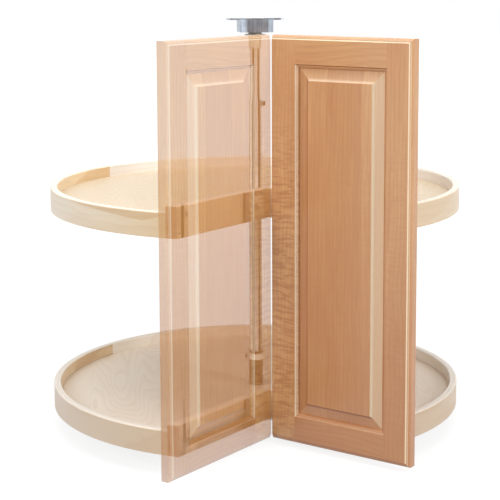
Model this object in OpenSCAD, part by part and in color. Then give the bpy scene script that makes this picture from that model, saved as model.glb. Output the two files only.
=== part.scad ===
// Corner carousel for a kitchen base cabinet: two round shelves with a square notch,
// a telescoping steel shaft, two raised-panel maple doors that close the notch,
// a floor pivot and a ceiling bracket.
// Origin: on the shaft's axis, at the underside of the floor plate. +Z is up.
// The notch opens towards -Y, and the object is symmetric about the plane X = 0.

/* [Shelves] */
// Diameter over the curved rims
shelf_d = 711; // [560:1:820]
// Underside of the lower shelf's rim above the cabinet floor
lower_shelf_z = 35; // [33:0.5:60]
// Underside of the upper shelf's rim above the cabinet floor
upper_shelf_z = 380; // [300:1:460]
// Height of the curved rim
rim_h = 40; // [34:1:70]
// Thickness of the curved rim
rim_t = 12; // [9:0.5:16]
// Height of the straight boards along the notch
board_h = 50; // [42:1:80]
// Thickness of the straight boards
board_t = 19; // [14:0.5:25]
// Thickness of the floor panel
floor_t = 9.5; // [8:0.5:12]
// Depth of the tray, from the rim's top edge down to the floor panel
tray_depth = 20; // [12:0.5:24]
// Depth of the groove that the floor panel is let into
floor_groove = 5; // [3:0.5:7]
// Radius on the top edges of rims and boards
edge_r = 2; // [0.5:0.25:4]
// Direction of the seam between the rim's left and back pieces, in degrees from +X
left_seam_angle = 134.5; // [100:0.5:170]
// Direction of the seam between the rim's back and right pieces, in degrees from +X
right_seam_angle = 3.5; // [-20:0.5:60]

/* [Doors] */
// Distance from the shaft's axis to the front face of each door
door_plane = 120; // [95:1:150]
// How far each door reaches out past the shelves' boards
door_reach = 43.5; // [30:0.5:60]
// Height of each door
door_h = 675; // [500:1:690]
// Thickness of each door
door_t = 19; // [17:0.5:25]
// Underside of the doors above the cabinet floor
door_z = 9; // [5:0.5:20]
// Gap between the two doors at the corner
door_gap = 1.5; // [1:0.5:8]
// Face width of the stile next to the corner
inner_stile_w = 46; // [36:1:60]
// Face width of the stile at the free edge
outer_stile_w = 46; // [36:1:52]
// Face width of the top rail
top_rail_w = 46; // [36:1:80]
// Face width of the bottom rail
bottom_rail_w = 46; // [36:1:80]
// Width of the moulding on the frame's inner edges
stick_w = 6; // [5:0.5:8]
// Width of the moulding on the door's outer edges
outer_mould_w = 7; // [4:0.5:8]
// Radius of the eased edge where the two doors meet
corner_ease = 1; // [0.5:0.5:3]
// Radius of the small cove where both mouldings meet the face
cove_r = 2.2; // [1:0.1:2.8]
// Thickness of the panel's tongue
tongue_t = 5.6; // [4:0.2:8]
// Depth of the groove that holds the panel
panel_groove = 9; // [6:0.5:12]
// Width of the panel's bevel, with the cove at its upper end
bevel_w = 19; // [14:0.5:26]
// Width of that cove
bevel_cove_w = 5.5; // [4:0.5:8]
// Height of the crisp shoulder round the raised field
shoulder_h = 1.2; // [0.5:0.1:2]

/* [Shaft] */
// Outside diameter of the outer tube
outer_tube_d = 21.3; // [19:0.1:26]
// Wall of the outer tube
outer_tube_wall = 1.9; // [1.5:0.1:3]
// Top end of the outer tube above the cabinet floor
outer_tube_top = 564; // [480:1:600]
// Wall of the inner tube
inner_tube_wall = 1.7; // [1.2:0.1:2.5]
// Length of the inner tube
inner_tube_len = 330; // [240:1:340]
// Number of flutes along both tubes
flute_count = 6; // [4:1:8]
// Depth of the flutes
flute_depth = 0.7; // [0.3:0.1:1]
// How far the clamp screw sits below the outer tube's top end
clamp_drop = 7; // [6:0.5:20]

/* [Hubs] */
// Diameter over the ribs of the lower hub's sleeve
sleeve_d = 24; // [23.6:0.1:30]
// Height of the ribbed sleeve above the lower shelf's floor
sleeve_h = 46; // [20:1:70]
// Number of ribs on the sleeve
sleeve_ribs = 24; // [12:1:36]
// Depth of the grooves between the ribs
rib_depth = 0.55; // [0.2:0.05:0.8]
// Diameter of the flange under each shelf
hub_flange_d = 90; // [70:1:110]
// Thickness of that flange
hub_flange_t = 4; // [3:0.5:6]
// Diameter of the boss under the flange
hub_boss_d = 32; // [30:0.5:40]
// Length of the lower hub's boss
lower_boss_h = 14; // [12:0.5:16]
// Length of the upper hub's boss
upper_boss_h = 24; // [14:1:40]
// Height of the nylon collar on the lower sleeve
collar_h = 11; // [9:0.5:16]
// Height of the steel ring above the collar
ring_h = 5; // [3:0.5:8]

/* [Floor pivot] */
// Side of the square floor plate
plate_w = 90; // [80:1:120]
// Thickness of the floor plate
plate_t = 2.5; // [2:0.5:4]
// Spacing of the floor plate's screw holes
plate_holes = 64; // [60:1:80]
// Diameter of those holes
plate_hole_d = 5.5; // [4:0.1:7]
// Diameter of the floor pivot's pin
pin_d = 10; // [8:0.5:11]
// Top end of the pin above the cabinet floor
pin_top = 30; // [24:0.5:34]
// Top face of the nylon bearing base
base_top = 9; // [7:0.5:12]
// Diameter of the bearing base
base_d = 48; // [40:1:60]

/* [Top bracket] */
// Top face of the bracket's ears above the cabinet floor
bracket_top = 705; // [696:1:760]
// Length over both ears
ear_span = 97; // [94:1:130]
// Width of the ears
ear_w = 26; // [18:1:34]
// Thickness of the ears
ear_t = 2.5; // [1.5:0.5:4]
// Distance between the centres of the two slots
slot_spacing = 76; // [72:1:80]
// Length of each slot
slot_len = 12; // [8:0.5:16]
// Width of each slot
slot_w = 5.5; // [4:0.1:7]
// Width of the steel band round the bearing block
band_w = 58; // [54:1:62]
// Cut across the band's corners
band_corner = 10; // [8:0.5:12]
// Height of the band
band_h = 21; // [16:0.5:30]
// Sheet thickness of the band
band_t = 2; // [1.5:0.5:3]
// Diameter of the top pivot
stud_d = 10; // [8:0.5:11]
// Diameter of the nylon bush
bush_d = 23; // [20:0.5:26]
// Diameter of the bush's flange
bush_flange_d = 36; // [30:0.5:40]
// Height of the ferrule on the inner tube
ferrule_h = 17; // [12:0.5:30]
// Diameter of the ferrule
ferrule_d = 22; // [21:0.5:28]

/* [Fasteners] */
// Shank diameter of the wood screws
screw_d = 4.2; // [3:0.1:5]
// Length of the door screws
door_screw_len = 29; // [26:0.5:32]
// Height of the door screws above a board's lower edge
door_screw_h = 37; // [26:0.5:46]
// Distance of the inner door screws from the corner
screw_in = 26; // [20:1:40]
// Distance of the outer door screws from the board's outer end
screw_inset = 22; // [19:0.5:40]
// Diameter of the brads
brad_d = 1.6; // [1:0.1:2.5]

/* [Hidden] */
$fn = 96;

// Clearances
run_fit = 0.05;      // radial, a pin that turns in its bore
slide_fit = 0.1;     // radial, the inner tube in the outer tube
body_gap = 0.3;      // between faces that turn past each other
seat_gap = 0.3;      // a panel or tongue in its groove
cut = 1;             // how far a cutting shape runs past the face it cuts

// Shelves
shelf_r = shelf_d / 2;
board_front = door_plane - door_t;
board_back = board_front - board_t;
floor_top = rim_h - tray_depth;
floor_under = floor_top - floor_t;
floor_r = shelf_r - rim_t + floor_groove - seat_gap;
floor_notch = board_back + floor_groove - seat_gap;
board_end = sqrt(pow(shelf_r, 2) - pow(board_front, 2));    // along the board, from the shaft
notch_margin = 8;                        // degrees between the notch's middle and a rim's cut-off

// Doors
door_w = board_end - door_plane - door_gap / 2 + door_reach;
groove_front = stick_w;
groove_t = tongue_t + 2 * seat_gap;
tongue_len = panel_groove - 2;
field_rise = 0.8;                        // how far the raised field stands proud of the frame
tongue_front = groove_front + seat_gap;
bevel_rise = 2.2;                        // of the flat part, from the tongue to the cove
cove_drop = tongue_front + field_rise - shoulder_h - bevel_rise;
cove_lead = 1.2;                         // from the arc's lowest point to the start of the cove
cove_arc_h = (pow(cove_lead + bevel_cove_w, 2) - pow(cove_lead, 2) + pow(cove_drop, 2)) / (2 * cove_drop);
cove_arc_r = sqrt(pow(cove_lead, 2) + pow(cove_arc_h, 2));
panel_x = inner_stile_w + stick_w - tongue_len;
panel_w = door_w - inner_stile_w - outer_stile_w - 2 * stick_w + 2 * tongue_len;
panel_z = bottom_rail_w + stick_w - tongue_len;
panel_h = door_h - bottom_rail_w - top_rail_w - 2 * stick_w + 2 * tongue_len;
rail_x = inner_stile_w + stick_w - panel_groove + seat_gap;
rail_end = door_w - outer_stile_w - stick_w + panel_groove - seat_gap;

// Shaft
outer_r = outer_tube_d / 2;
outer_bore_r = outer_r - outer_tube_wall;
inner_r = outer_bore_r - slide_fit;
inner_bore_r = inner_r - inner_tube_wall;
hub_bore_r = outer_r + run_fit;
flute_r = 1.2;

// Top bracket, from the ears down
band_top = bracket_top - ear_t;
band_z = band_top - band_h;
bush_shoulder = 5.5;                     // from the band's lower edge down to the bush's flange
bush_foot = 10.6;                        // from the band's lower edge down to the bush's end
bush_rise = 8;                           // how far the bush reaches up into the bearing block
bush_z = band_z - bush_foot;
bush_top = band_z + bush_rise;
ferrule_top = bush_z - body_gap;
ferrule_z = ferrule_top - ferrule_h;
ferrule_cap = 3;
inner_tube_top = ferrule_top - ferrule_cap;
inner_tube_z = inner_tube_top - inner_tube_len;
plug_len = 26;
plug_z = inner_tube_top - plug_len;
stud_top = band_top - 5;
clip_t = 1.2;
clip_z = bush_top + body_gap;
ear_lap = 11;                            // how far the ears reach in over the band
block_gap = 0.1;
block_dome = 1.8;

// Floor pivot, from the plate up
pivot_flange_r = 11;
pivot_flange_t = 2.5;
foot_z = base_top + body_gap;
foot_flange_t = 4;
foot_flange_d = 40;
tube_z = foot_z + foot_flange_t;
foot_spigot = 23;

// Hubs
sleeve_r = sleeve_d / 2;
collar_r = sleeve_r + 0.6;
lower_floor_top = lower_shelf_z + floor_top;
sleeve_top = lower_floor_top + sleeve_h;
collar_top = sleeve_top + collar_h;
hub_screw_ring = hub_flange_d / 2 - 10;
hub_screw_len = hub_flange_t + floor_t - 2;
set_screw_r = 3;
clamp_z = outer_tube_top - clamp_drop;
clamp_r = 3;
clamp_nut_out = outer_r + 2.4;
clamp_head_r = 4;
clamp_head_len = 4;

// Fasteners
screw_r = screw_d / 2;
screw_head_r = screw_r * 1.9;
screw_head_h = 2.4;
screw_out = board_end - door_plane - screw_inset;
brad_len = 38;
brad_inset = 7;                          // from the board's outer end
brad_heights = [8, 26];                  // above the board's lower edge
brad_head_h = 0.9;
brad_sink = 0.4;                         // of the tilted head below the board's face
brad_x = board_end - brad_inset;
brad_tip_x = sqrt(pow(shelf_r - rim_t / 2, 2) - pow(board_front - brad_len, 2));
brad_slant = atan((brad_tip_x - brad_x) / brad_len);

// Colours
birch = "#ecd9b6";
board_wood = "#d9ab78";
maple = "#d4a073";
maple_dark = "#c98f60";
zinc = "#b9c4cf";
steel = "#a7a5a2";
dark_steel = "#55524f";
nylon = "#ece7d8";
black_nylon = "#2b2a2a";

// ---------- placing ----------

// Right-hand half: +X runs outwards along the right door, +Y runs back through it.
module right_side() {
    rotate([0, 0, -45]) children();
}

// Left-hand half, the mirror image of the right.
module left_side() {
    mirror([1, 0, 0]) rotate([0, 0, -45]) children();
}

// Lays a 2D section (X = depth, Y = height) along X.
module along_x(length) {
    rotate([90, 0, 90]) linear_extrude(height = length) children();
}

// Swaps the two axes of a 2D section.
module swapped() {
    mirror([1, -1, 0]) children();
}

// A wood screw along +X with its head's seat at X = 0: pan head behind, point ahead.
module wood_screw(length, head_h) {
    rotate([0, 90, 0]) {
        translate([0, 0, -head_h]) cylinder(r1 = screw_head_r * 0.8, r2 = screw_head_r, h = head_h);
        cylinder(r = screw_r, h = length - 3);
        translate([0, 0, length - 3]) cylinder(r1 = screw_r, r2 = 0.4, h = 3);
    }
}

// ---------- shelves ----------

// Section of a rim or board, X from its inner face (0) to its outer face (thick), Y = height,
// with rounded top edges and the floor's groove in the inner face.
module rim_section(thick, high) {
    difference() {
        union() {
            square([thick, high - edge_r]);
            translate([edge_r, 0]) square([thick - 2 * edge_r, high]);
            translate([edge_r, high - edge_r]) circle(r = edge_r);
            translate([thick - edge_r, high - edge_r]) circle(r = edge_r);
        }
        translate([-cut, floor_under]) square([cut + floor_groove, floor_t]);
    }
}

// Places one child at each brad of the right-hand board: from the board's front face back,
// slanted outwards so that the point stays in the middle of the curved rim.
module at_brads() {
    for (h = brad_heights) {
        translate([brad_x, -board_front, h]) rotate([0, 0, -brad_slant]) rotate([-90, 0, 0]) children();
    }
}

module brad() {
    translate([0, 0, brad_sink]) {
        cylinder(r = brad_d / 2, h = brad_len, $fn = 24);
        cylinder(r = brad_d / 2 + 0.5, h = brad_head_h, $fn = 24);
    }
}

module brad_hole() {
    translate([0, 0, -cut]) {
        cylinder(r = brad_d / 2 + run_fit, h = brad_len + brad_sink + 2 * cut, $fn = 24);
        cylinder(r = brad_d / 2 + 0.5 + run_fit, h = cut + brad_sink + brad_head_h, $fn = 24);
    }
}

// Sector of the plan between two seams.
module seam_sector(from, to) {
    beyond = 1.6 * shelf_r;
    step = (to - from) / 4;
    polygon(concat([[0, 0]], [for (k = [0:4]) beyond * [cos(from + k * step), sin(from + k * step)]]));
}

// One bent birch strip of the curved rim, between two seams or up to a straight board.
module rim_strip(from, to) {
    difference() {
        intersection() {
            rotate_extrude($fn = 180) translate([shelf_r - rim_t, 0]) rim_section(rim_t, rim_h);
            translate([0, 0, -cut]) linear_extrude(height = rim_h + 2 * cut) seam_sector(from, to);
        }
        right_side() translate([board_back, -shelf_r - cut, -cut]) {
            cube([shelf_r, shelf_r + cut - board_back, rim_h + 2 * cut]);
        }
        children();
    }
}

// The left and right strips end in the notch, short of its middle.
module left_rim() {
    rim_strip(left_seam_angle, 270 - notch_margin) left_side() at_brads() brad_hole();
}

module back_rim() {
    rim_strip(right_seam_angle, left_seam_angle);
}

module right_rim() {
    rim_strip(-90 + notch_margin, right_seam_angle) right_side() at_brads() brad_hole();
}

// Floor panel: a round birch plywood panel with the notch and the hole for the hub.
module floor_panel() {
    translate([0, 0, floor_under]) difference() {
        cylinder(r = floor_r, h = floor_t, $fn = 180);
        right_side() translate([floor_notch, -floor_r - cut, -cut]) {
            cube([floor_r, floor_r + cut - floor_notch, floor_t + 2 * cut]);
        }
        translate([0, 0, -cut]) cylinder(r = sleeve_r + seat_gap, h = floor_t + 2 * cut);
        at_hub_screws() cylinder(r = screw_r + run_fit, h = 2 * (floor_t - 2), center = true, $fn = 24);
    }
}

// One straight board of the notch, cut round to the rim outside and mitred at the corner.
module notch_board() {
    difference() {
        intersection() {
            right_side() translate([0, -board_back, 0]) along_x(shelf_r) {
                mirror([1, 0, 0]) rim_section(board_t, board_h);
            }
            translate([0, 0, -cut]) cylinder(r = shelf_r, h = board_h + 2 * cut, $fn = 180);
        }
        translate([-shelf_r, -shelf_r, -cut]) cube([shelf_r, shelf_r, board_h + 2 * cut]);
        right_side() at_brads() brad_hole();
        right_side() at_door_screws() {
            translate([-cut, 0, 0]) rotate([0, 90, 0]) {
                cylinder(r = screw_r + run_fit, h = board_t + 2 * cut, $fn = 32);
            }
        }
    }
}

module lower_rim_left() {
    color(birch) translate([0, 0, lower_shelf_z]) left_rim();
}

module lower_rim_back() {
    color(birch) translate([0, 0, lower_shelf_z]) back_rim();
}

module lower_rim_right() {
    color(birch) translate([0, 0, lower_shelf_z]) right_rim();
}

module upper_rim_left() {
    color(birch) translate([0, 0, upper_shelf_z]) left_rim();
}

module upper_rim_back() {
    color(birch) translate([0, 0, upper_shelf_z]) back_rim();
}

module upper_rim_right() {
    color(birch) translate([0, 0, upper_shelf_z]) right_rim();
}

module lower_floor() {
    color(birch) translate([0, 0, lower_shelf_z]) floor_panel();
}

module upper_floor() {
    color(birch) translate([0, 0, upper_shelf_z]) floor_panel();
}

module lower_right_board() {
    color(board_wood) translate([0, 0, lower_shelf_z]) notch_board();
}

module upper_right_board() {
    color(board_wood) translate([0, 0, upper_shelf_z]) notch_board();
}

module lower_left_board() {
    color(board_wood) translate([0, 0, lower_shelf_z]) mirror([1, 0, 0]) notch_board();
}

module upper_left_board() {
    color(board_wood) translate([0, 0, upper_shelf_z]) mirror([1, 0, 0]) notch_board();
}

// Brads that pin the ends of a curved rim to the two boards.
module shelf_brads(z) {
    color(steel) translate([0, 0, z]) {
        right_side() at_brads() brad();
        left_side() at_brads() brad();
    }
}

module lower_brads() {
    shelf_brads(lower_shelf_z);
}

module upper_brads() {
    shelf_brads(upper_shelf_z);
}

// ---------- doors ----------
// Door frame of reference: X across the door from the corner, Y from the front face back, Z up.

// Waste of a moulding along the edge X = 0: a small cove at the face, then a quarter round to the edge.
module moulding_waste(width) {
    round_r = width - cove_r;
    difference() {
        translate([-cut, -cut]) square([round_r + cut, width + cut]);
        translate([round_r, width]) circle(r = round_r);
    }
    intersection() {
        translate([round_r, 0]) circle(r = cove_r);
        translate([round_r, -cut]) square(2 * cove_r + cut);
    }
}

// Section of a frame member: X from the door's outer edge to the panel, Y from the front back.
module frame_section(face_w) {
    difference() {
        member_section(face_w);
        moulding_waste(outer_mould_w);
    }
}

// The same with its outer edge still square: moulding and groove on the panel's side.
module member_section(face_w) {
    full_w = face_w + stick_w;
    difference() {
        square([full_w, door_t]);
        translate([full_w, 0]) mirror([1, 0]) moulding_waste(stick_w);
        translate([full_w - panel_groove, groove_front]) square([panel_groove + cut, groove_t]);
    }
}

// Waste of the eased edge next to the other door.
module ease_waste() {
    difference() {
        translate([-cut, -cut]) square(corner_ease + cut);
        translate([corner_ease, corner_ease]) circle(r = corner_ease, $fn = 32);
    }
}

// Section of the raised panel: tongue, bevel, cove and shoulder on both edges.
module panel_section(span) {
    difference() {
        translate([0, -field_rise]) square([span, door_t]);
        for (m = [0, 1]) {
            translate([m * span, 0]) mirror([m, 0]) {
                panel_edge_waste();
            }
        }
    }
}

module panel_edge_waste() {
    bevel_x = tongue_len + 1;
    cove_x = bevel_x + bevel_w - bevel_cove_w;
    cove_floor = tongue_front - bevel_rise;
    front = -field_rise - cut;
    polygon([
        [-cut, front],
        [-cut, tongue_front],
        [bevel_x, tongue_front],
        [cove_x, cove_floor],
        [cove_x, front]]);
    intersection() {
        translate([cove_x - cove_lead, cove_floor - cove_arc_h]) circle(r = cove_arc_r);
        translate([cove_x, front]) square([bevel_cove_w, cove_floor - front]);
    }
    translate([cove_x - cut / 2, front]) square([bevel_cove_w + cut / 2, cut + shoulder_h]);
    translate([-cut, tongue_front + tongue_t]) square([tongue_len + cut + seat_gap, door_t]);
}

// Waste along the door's top and bottom edges, over the full width.
module end_moulding_waste() {
    translate([-cut, 0, 0]) along_x(door_w + 2 * cut) swapped() moulding_waste(outer_mould_w);
    translate([-cut, 0, door_h]) mirror([0, 0, 1]) along_x(door_w + 2 * cut) {
        swapped() moulding_waste(outer_mould_w);
    }
}

module inner_stile_bar() {
    linear_extrude(height = door_h) difference() {
        member_section(inner_stile_w);
        ease_waste();
    }
}

module outer_stile_bar() {
    translate([door_w, 0, 0]) mirror([1, 0, 0]) linear_extrude(height = door_h) frame_section(outer_stile_w);
}

module inner_stile() {
    difference() {
        inner_stile_bar();
        end_moulding_waste();
        at_stile_pilots() pilot_hole();
    }
}

module outer_stile() {
    difference() {
        outer_stile_bar();
        end_moulding_waste();
    }
}

// A rail's ends are coped over the stiles' moulding and leave a stub tenon in their groove.
module rail(face_w) {
    difference() {
        translate([rail_x, 0, 0]) along_x(rail_end - rail_x) swapped() frame_section(face_w);
        translate([0, 0, -cut]) cope_cutters();
    }
}

// Both stiles, a little taller than the door, as cutters for the copes.
module cope_cutters() {
    tall = door_h + 2 * cut;
    linear_extrude(height = tall) cope_section(inner_stile_w);
    translate([door_w, 0, 0]) mirror([1, 0, 0]) linear_extrude(height = tall) cope_section(outer_stile_w);
}

// A stile's section as seen by the rail: its groove stays open for the stub tenon.
module cope_section(face_w) {
    full_w = face_w + stick_w;
    difference() {
        translate([-cut, 0]) square([full_w + cut, door_t]);
        translate([full_w, 0]) mirror([1, 0]) moulding_waste(stick_w);
        translate([full_w - panel_groove, groove_front]) square([panel_groove + cut, groove_t]);
    }
}

module bottom_rail() {
    rail(bottom_rail_w);
}

module top_rail() {
    translate([0, 0, door_h]) mirror([0, 0, 1]) rail(top_rail_w);
}

module raised_panel() {
    difference() {
        translate([panel_x, 0, panel_z]) intersection() {
            linear_extrude(height = panel_h) panel_section(panel_w);
            along_x(panel_w) swapped() panel_section(panel_h);
        }
        at_panel_pilots() pilot_hole();
    }
}

// Screw places, in the door's own frame of reference
screw_zs = [lower_shelf_z + door_screw_h - door_z, upper_shelf_z + door_screw_h - door_z];

module at_stile_pilots() {
    for (z = screw_zs) translate([screw_in - door_gap / 2, door_t, z]) rotate([90, 0, 0]) children();
}

module at_panel_pilots() {
    for (z = screw_zs) translate([screw_out - door_gap / 2, door_t, z]) rotate([90, 0, 0]) children();
}

module pilot_hole() {
    hole_len = door_screw_len - board_t + 0.5;
    translate([0, 0, -cut]) cylinder(r = screw_r + run_fit, h = hole_len + cut, $fn = 32);
}

// Door screws of one shelf, on the right-hand board's back face, pointing at the door.
module at_door_screws() {
    for (d = [screw_in, screw_out]) {
        translate([door_plane + d, -board_back, door_screw_h]) rotate([0, 0, -90]) children();
    }
}

module right_door() {
    right_side() translate([door_plane + door_gap / 2, -door_plane, door_z]) children();
}

module left_door() {
    left_side() translate([door_plane + door_gap / 2, -door_plane, door_z]) children();
}

module left_inner_stile() {
    color(maple) left_door() inner_stile();
}

module left_outer_stile() {
    color(maple) left_door() outer_stile();
}

module left_top_rail() {
    color(maple_dark) left_door() top_rail();
}

module left_bottom_rail() {
    color(maple_dark) left_door() bottom_rail();
}

module left_panel() {
    color(maple) left_door() raised_panel();
}

module right_inner_stile() {
    color(maple) right_door() inner_stile();
}

module right_outer_stile() {
    color(maple) right_door() outer_stile();
}

module right_top_rail() {
    color(maple_dark) right_door() top_rail();
}

module right_bottom_rail() {
    color(maple_dark) right_door() bottom_rail();
}

module right_panel() {
    color(maple) right_door() raised_panel();
}

module door_screw_set() {
    for (z = [lower_shelf_z, upper_shelf_z]) {
        translate([0, 0, z]) at_door_screws() wood_screw(door_screw_len, screw_head_h);
    }
}

module left_door_screws() {
    color(steel) left_side() door_screw_set();
}

module right_door_screws() {
    color(steel) right_side() door_screw_set();
}

// ---------- shaft ----------

// Round tube section with flutes rolled into its outside.
module fluted_section(r, bore_r) {
    difference() {
        circle(r = r);
        circle(r = bore_r);
        for (i = [0:flute_count - 1]) {
            rotate(360 / flute_count * i - 60) translate([r + flute_r - flute_depth, 0]) {
                circle(r = flute_r, $fn = 32);
            }
        }
    }
}

module outer_tube() {
    color(steel) difference() {
        translate([0, 0, tube_z]) linear_extrude(height = outer_tube_top - tube_z) {
            fluted_section(outer_r, outer_bore_r);
        }
        translate([0, 0, clamp_z]) rotate([0, 90, 0]) {
            cylinder(r = clamp_r + run_fit, h = outer_r + cut, $fn = 48);
        }
    }
}

module inner_tube() {
    color(steel) translate([0, 0, inner_tube_z]) linear_extrude(height = inner_tube_len) {
        fluted_section(inner_r, inner_bore_r);
    }
}

// Hexagon nut welded to the outer tube for the clamp screw.
module clamp_nut() {
    nut_r = clamp_r + 2.6;
    color(zinc) translate([0, 0, clamp_z]) difference() {
        rotate([0, 90, 0]) cylinder(r = nut_r, h = clamp_nut_out, $fn = 6);
        rotate([0, 90, 0]) cylinder(r = clamp_r + run_fit, h = clamp_nut_out + cut, $fn = 48);
        translate([0, 0, -nut_r - cut]) cylinder(r = outer_r + run_fit, h = 2 * (nut_r + cut));
    }
}

// Socket-head screw that clamps the inner tube.
module clamp_screw() {
    tip = inner_r + body_gap;
    head_x = clamp_nut_out + body_gap;
    color(dark_steel) translate([0, 0, clamp_z]) difference() {
        rotate([0, 90, 0]) {
            translate([0, 0, tip]) cylinder(r = clamp_r, h = head_x - tip + 1, $fn = 48);
            translate([0, 0, head_x]) cylinder(r = clamp_head_r, h = clamp_head_len, $fn = 48);
        }
        translate([head_x + clamp_head_len - 2.2, 0, 0]) rotate([0, 90, 0]) cylinder(r = 2, h = 3, $fn = 6);
    }
}

// Nylon foot pressed into the outer tube; it turns on the floor pivot.
module tube_foot() {
    color(nylon) rotate_extrude() difference() {
        union() {
            translate([0, foot_z]) square([foot_flange_d / 2, foot_flange_t]);
            translate([0, foot_z]) square([outer_bore_r - run_fit, foot_flange_t + foot_spigot]);
        }
        translate([0, foot_z - cut]) square([pin_d / 2 + run_fit, foot_flange_t + foot_spigot + 2 * cut]);
    }
}

// Moulded cap on the inner tube's end: a skirt outside and a plug inside the tube.
module tube_ferrule() {
    bore_r = stud_d / 2 + run_fit;
    color(nylon) rotate_extrude() difference() {
        union() {
            translate([bore_r, plug_z]) square([inner_bore_r - run_fit - bore_r, plug_len + cut]);
            translate([bore_r, inner_tube_top]) square([ferrule_d / 2 - 1 - bore_r, ferrule_cap]);
            translate([inner_r + run_fit, ferrule_z]) {
                square([ferrule_d / 2 - inner_r - run_fit, ferrule_h - 1]);
            }
            translate([bore_r, inner_tube_top]) square([ferrule_d / 2 - bore_r, ferrule_cap - 1]);
            translate([ferrule_d / 2 - 1, ferrule_top - 1]) circle(r = 1, $fn = 32);
        }
        translate([inner_bore_r - run_fit, ferrule_z - cut]) {
            square([inner_r - inner_bore_r + 2 * run_fit, inner_tube_top - ferrule_z + cut]);
        }
    }
}

// Steel stud in the ferrule that turns in the top bush.
module top_pivot() {
    color(steel) rotate_extrude() difference() {
        translate([0, plug_z + 2]) square([stud_d / 2, stud_top - plug_z - 2]);
        translate([stud_d / 2 - 0.7, clip_z]) square([cut + 0.7, clip_t]);
        translate([stud_d / 2, stud_top]) rotate(45) square([1.4, 1.4], center = true);
    }
}

// Retaining clip in the stud's groove, above the bush.
module pivot_clip() {
    color(dark_steel) translate([0, 0, clip_z]) linear_extrude(height = clip_t) difference() {
        circle(r = stud_d / 2 + 2.6, $fn = 64);
        circle(r = stud_d / 2 - 0.7 + run_fit, $fn = 64);
        translate([0, -2.5]) square([stud_d, 5]);
    }
}

// ---------- hubs ----------

// Four screws on a ring, one child each, pointing up.
module at_hub_screws() {
    for (a = [0:90:270]) rotate([0, 0, a]) translate([hub_screw_ring, 0, 0]) children();
}

// Ribbed round section of the sleeve.
module ribbed_section() {
    rib_w = PI * sleeve_r / sleeve_ribs;
    intersection() {
        circle(r = sleeve_r);
        union() {
            circle(r = sleeve_r - rib_depth);
            for (i = [0:sleeve_ribs - 1]) {
                rotate(360 / sleeve_ribs * i) translate([sleeve_r - 2 * rib_depth, -rib_w / 2]) {
                    square([2.5 * rib_depth, rib_w]);
                }
            }
        }
    }
}

// Hub flange with its boss below and four gussets; Z = 0 is the flange's top face.
module hub_base(boss_h) {
    boss_r = hub_boss_d / 2;
    gusset_r = hub_flange_d / 2 - 3;
    gusset_t = 3;
    translate([0, 0, -hub_flange_t]) cylinder(r = hub_flange_d / 2, h = hub_flange_t);
    translate([0, 0, -hub_flange_t - boss_h]) cylinder(r = boss_r, h = boss_h + cut);
    for (a = [45:90:315]) {
        rotate([0, 0, a]) translate([0, gusset_t / 2, -hub_flange_t]) rotate([90, 0, 0]) {
            linear_extrude(height = gusset_t) {
                polygon([[boss_r - 1, 1], [gusset_r, 1], [boss_r - 1, 3 - boss_h]]);
            }
        }
    }
}

// Holes of a hub: bore, flange screws and the set screw at the middle of the boss.
module hub_holes(boss_h, rise) {
    translate([0, 0, -hub_flange_t - boss_h - cut]) {
        cylinder(r = hub_bore_r, h = hub_flange_t + boss_h + rise + 2 * cut);
    }
    at_hub_screws() translate([0, 0, -hub_flange_t - cut]) {
        cylinder(r = screw_r + run_fit, h = hub_flange_t + 2 * cut, $fn = 32);
    }
    translate([0, 0, -hub_flange_t - boss_h / 2]) rotate([0, 90, 0]) {
        cylinder(r = set_screw_r + run_fit, h = hub_boss_d / 2 + cut, $fn = 48);
    }
}

module lower_hub() {
    rise = floor_t + sleeve_h;
    color(black_nylon) translate([0, 0, lower_shelf_z + floor_under]) difference() {
        union() {
            hub_base(lower_boss_h);
            linear_extrude(height = rise) ribbed_section();
        }
        hub_holes(lower_boss_h, rise);
    }
}

module upper_hub() {
    color(black_nylon) translate([0, 0, upper_shelf_z + floor_under]) difference() {
        union() {
            hub_base(upper_boss_h);
            cylinder(r = sleeve_r, h = floor_t);
        }
        hub_holes(upper_boss_h, floor_t);
    }
}

module hub_screws(z) {
    color(steel) translate([0, 0, z + floor_under - hub_flange_t]) at_hub_screws() {
        rotate([0, -90, 0]) wood_screw(hub_screw_len, screw_head_h);
    }
}

module lower_hub_screws() {
    hub_screws(lower_shelf_z);
}

module upper_hub_screws() {
    hub_screws(upper_shelf_z);
}

// One headless set screw in the boss of each hub.
module hub_set_screws() {
    set_len = hub_boss_d / 2 - hub_bore_r - 0.5;
    places = [lower_shelf_z + floor_under - hub_flange_t - lower_boss_h / 2,
        upper_shelf_z + floor_under - hub_flange_t - upper_boss_h / 2];
    for (z = places) {
        color(dark_steel) translate([hub_bore_r, 0, z]) rotate([0, 90, 0]) difference() {
            cylinder(r = set_screw_r, h = set_len, $fn = 48);
            translate([0, 0, set_len - 2.5]) cylinder(r = 1.6, h = 3, $fn = 6);
        }
    }
}

// Nylon collar on top of the ribbed sleeve, with a boss for its clamping screw.
module hub_collar() {
    color(nylon) translate([0, 0, sleeve_top]) difference() {
        union() {
            cylinder(r = collar_r, h = collar_h);
            translate([0, 0, collar_h / 2]) rotate([0, -90, 0]) cylinder(r = 4, h = collar_r + 3.2, $fn = 48);
        }
        translate([0, 0, -cut]) cylinder(r = hub_bore_r, h = collar_h + 2 * cut);
        translate([0, 0, collar_h / 2]) rotate([0, -90, 0]) {
            cylinder(r = 1.5 + run_fit, h = collar_r + 4, $fn = 32);
        }
    }
}

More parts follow.
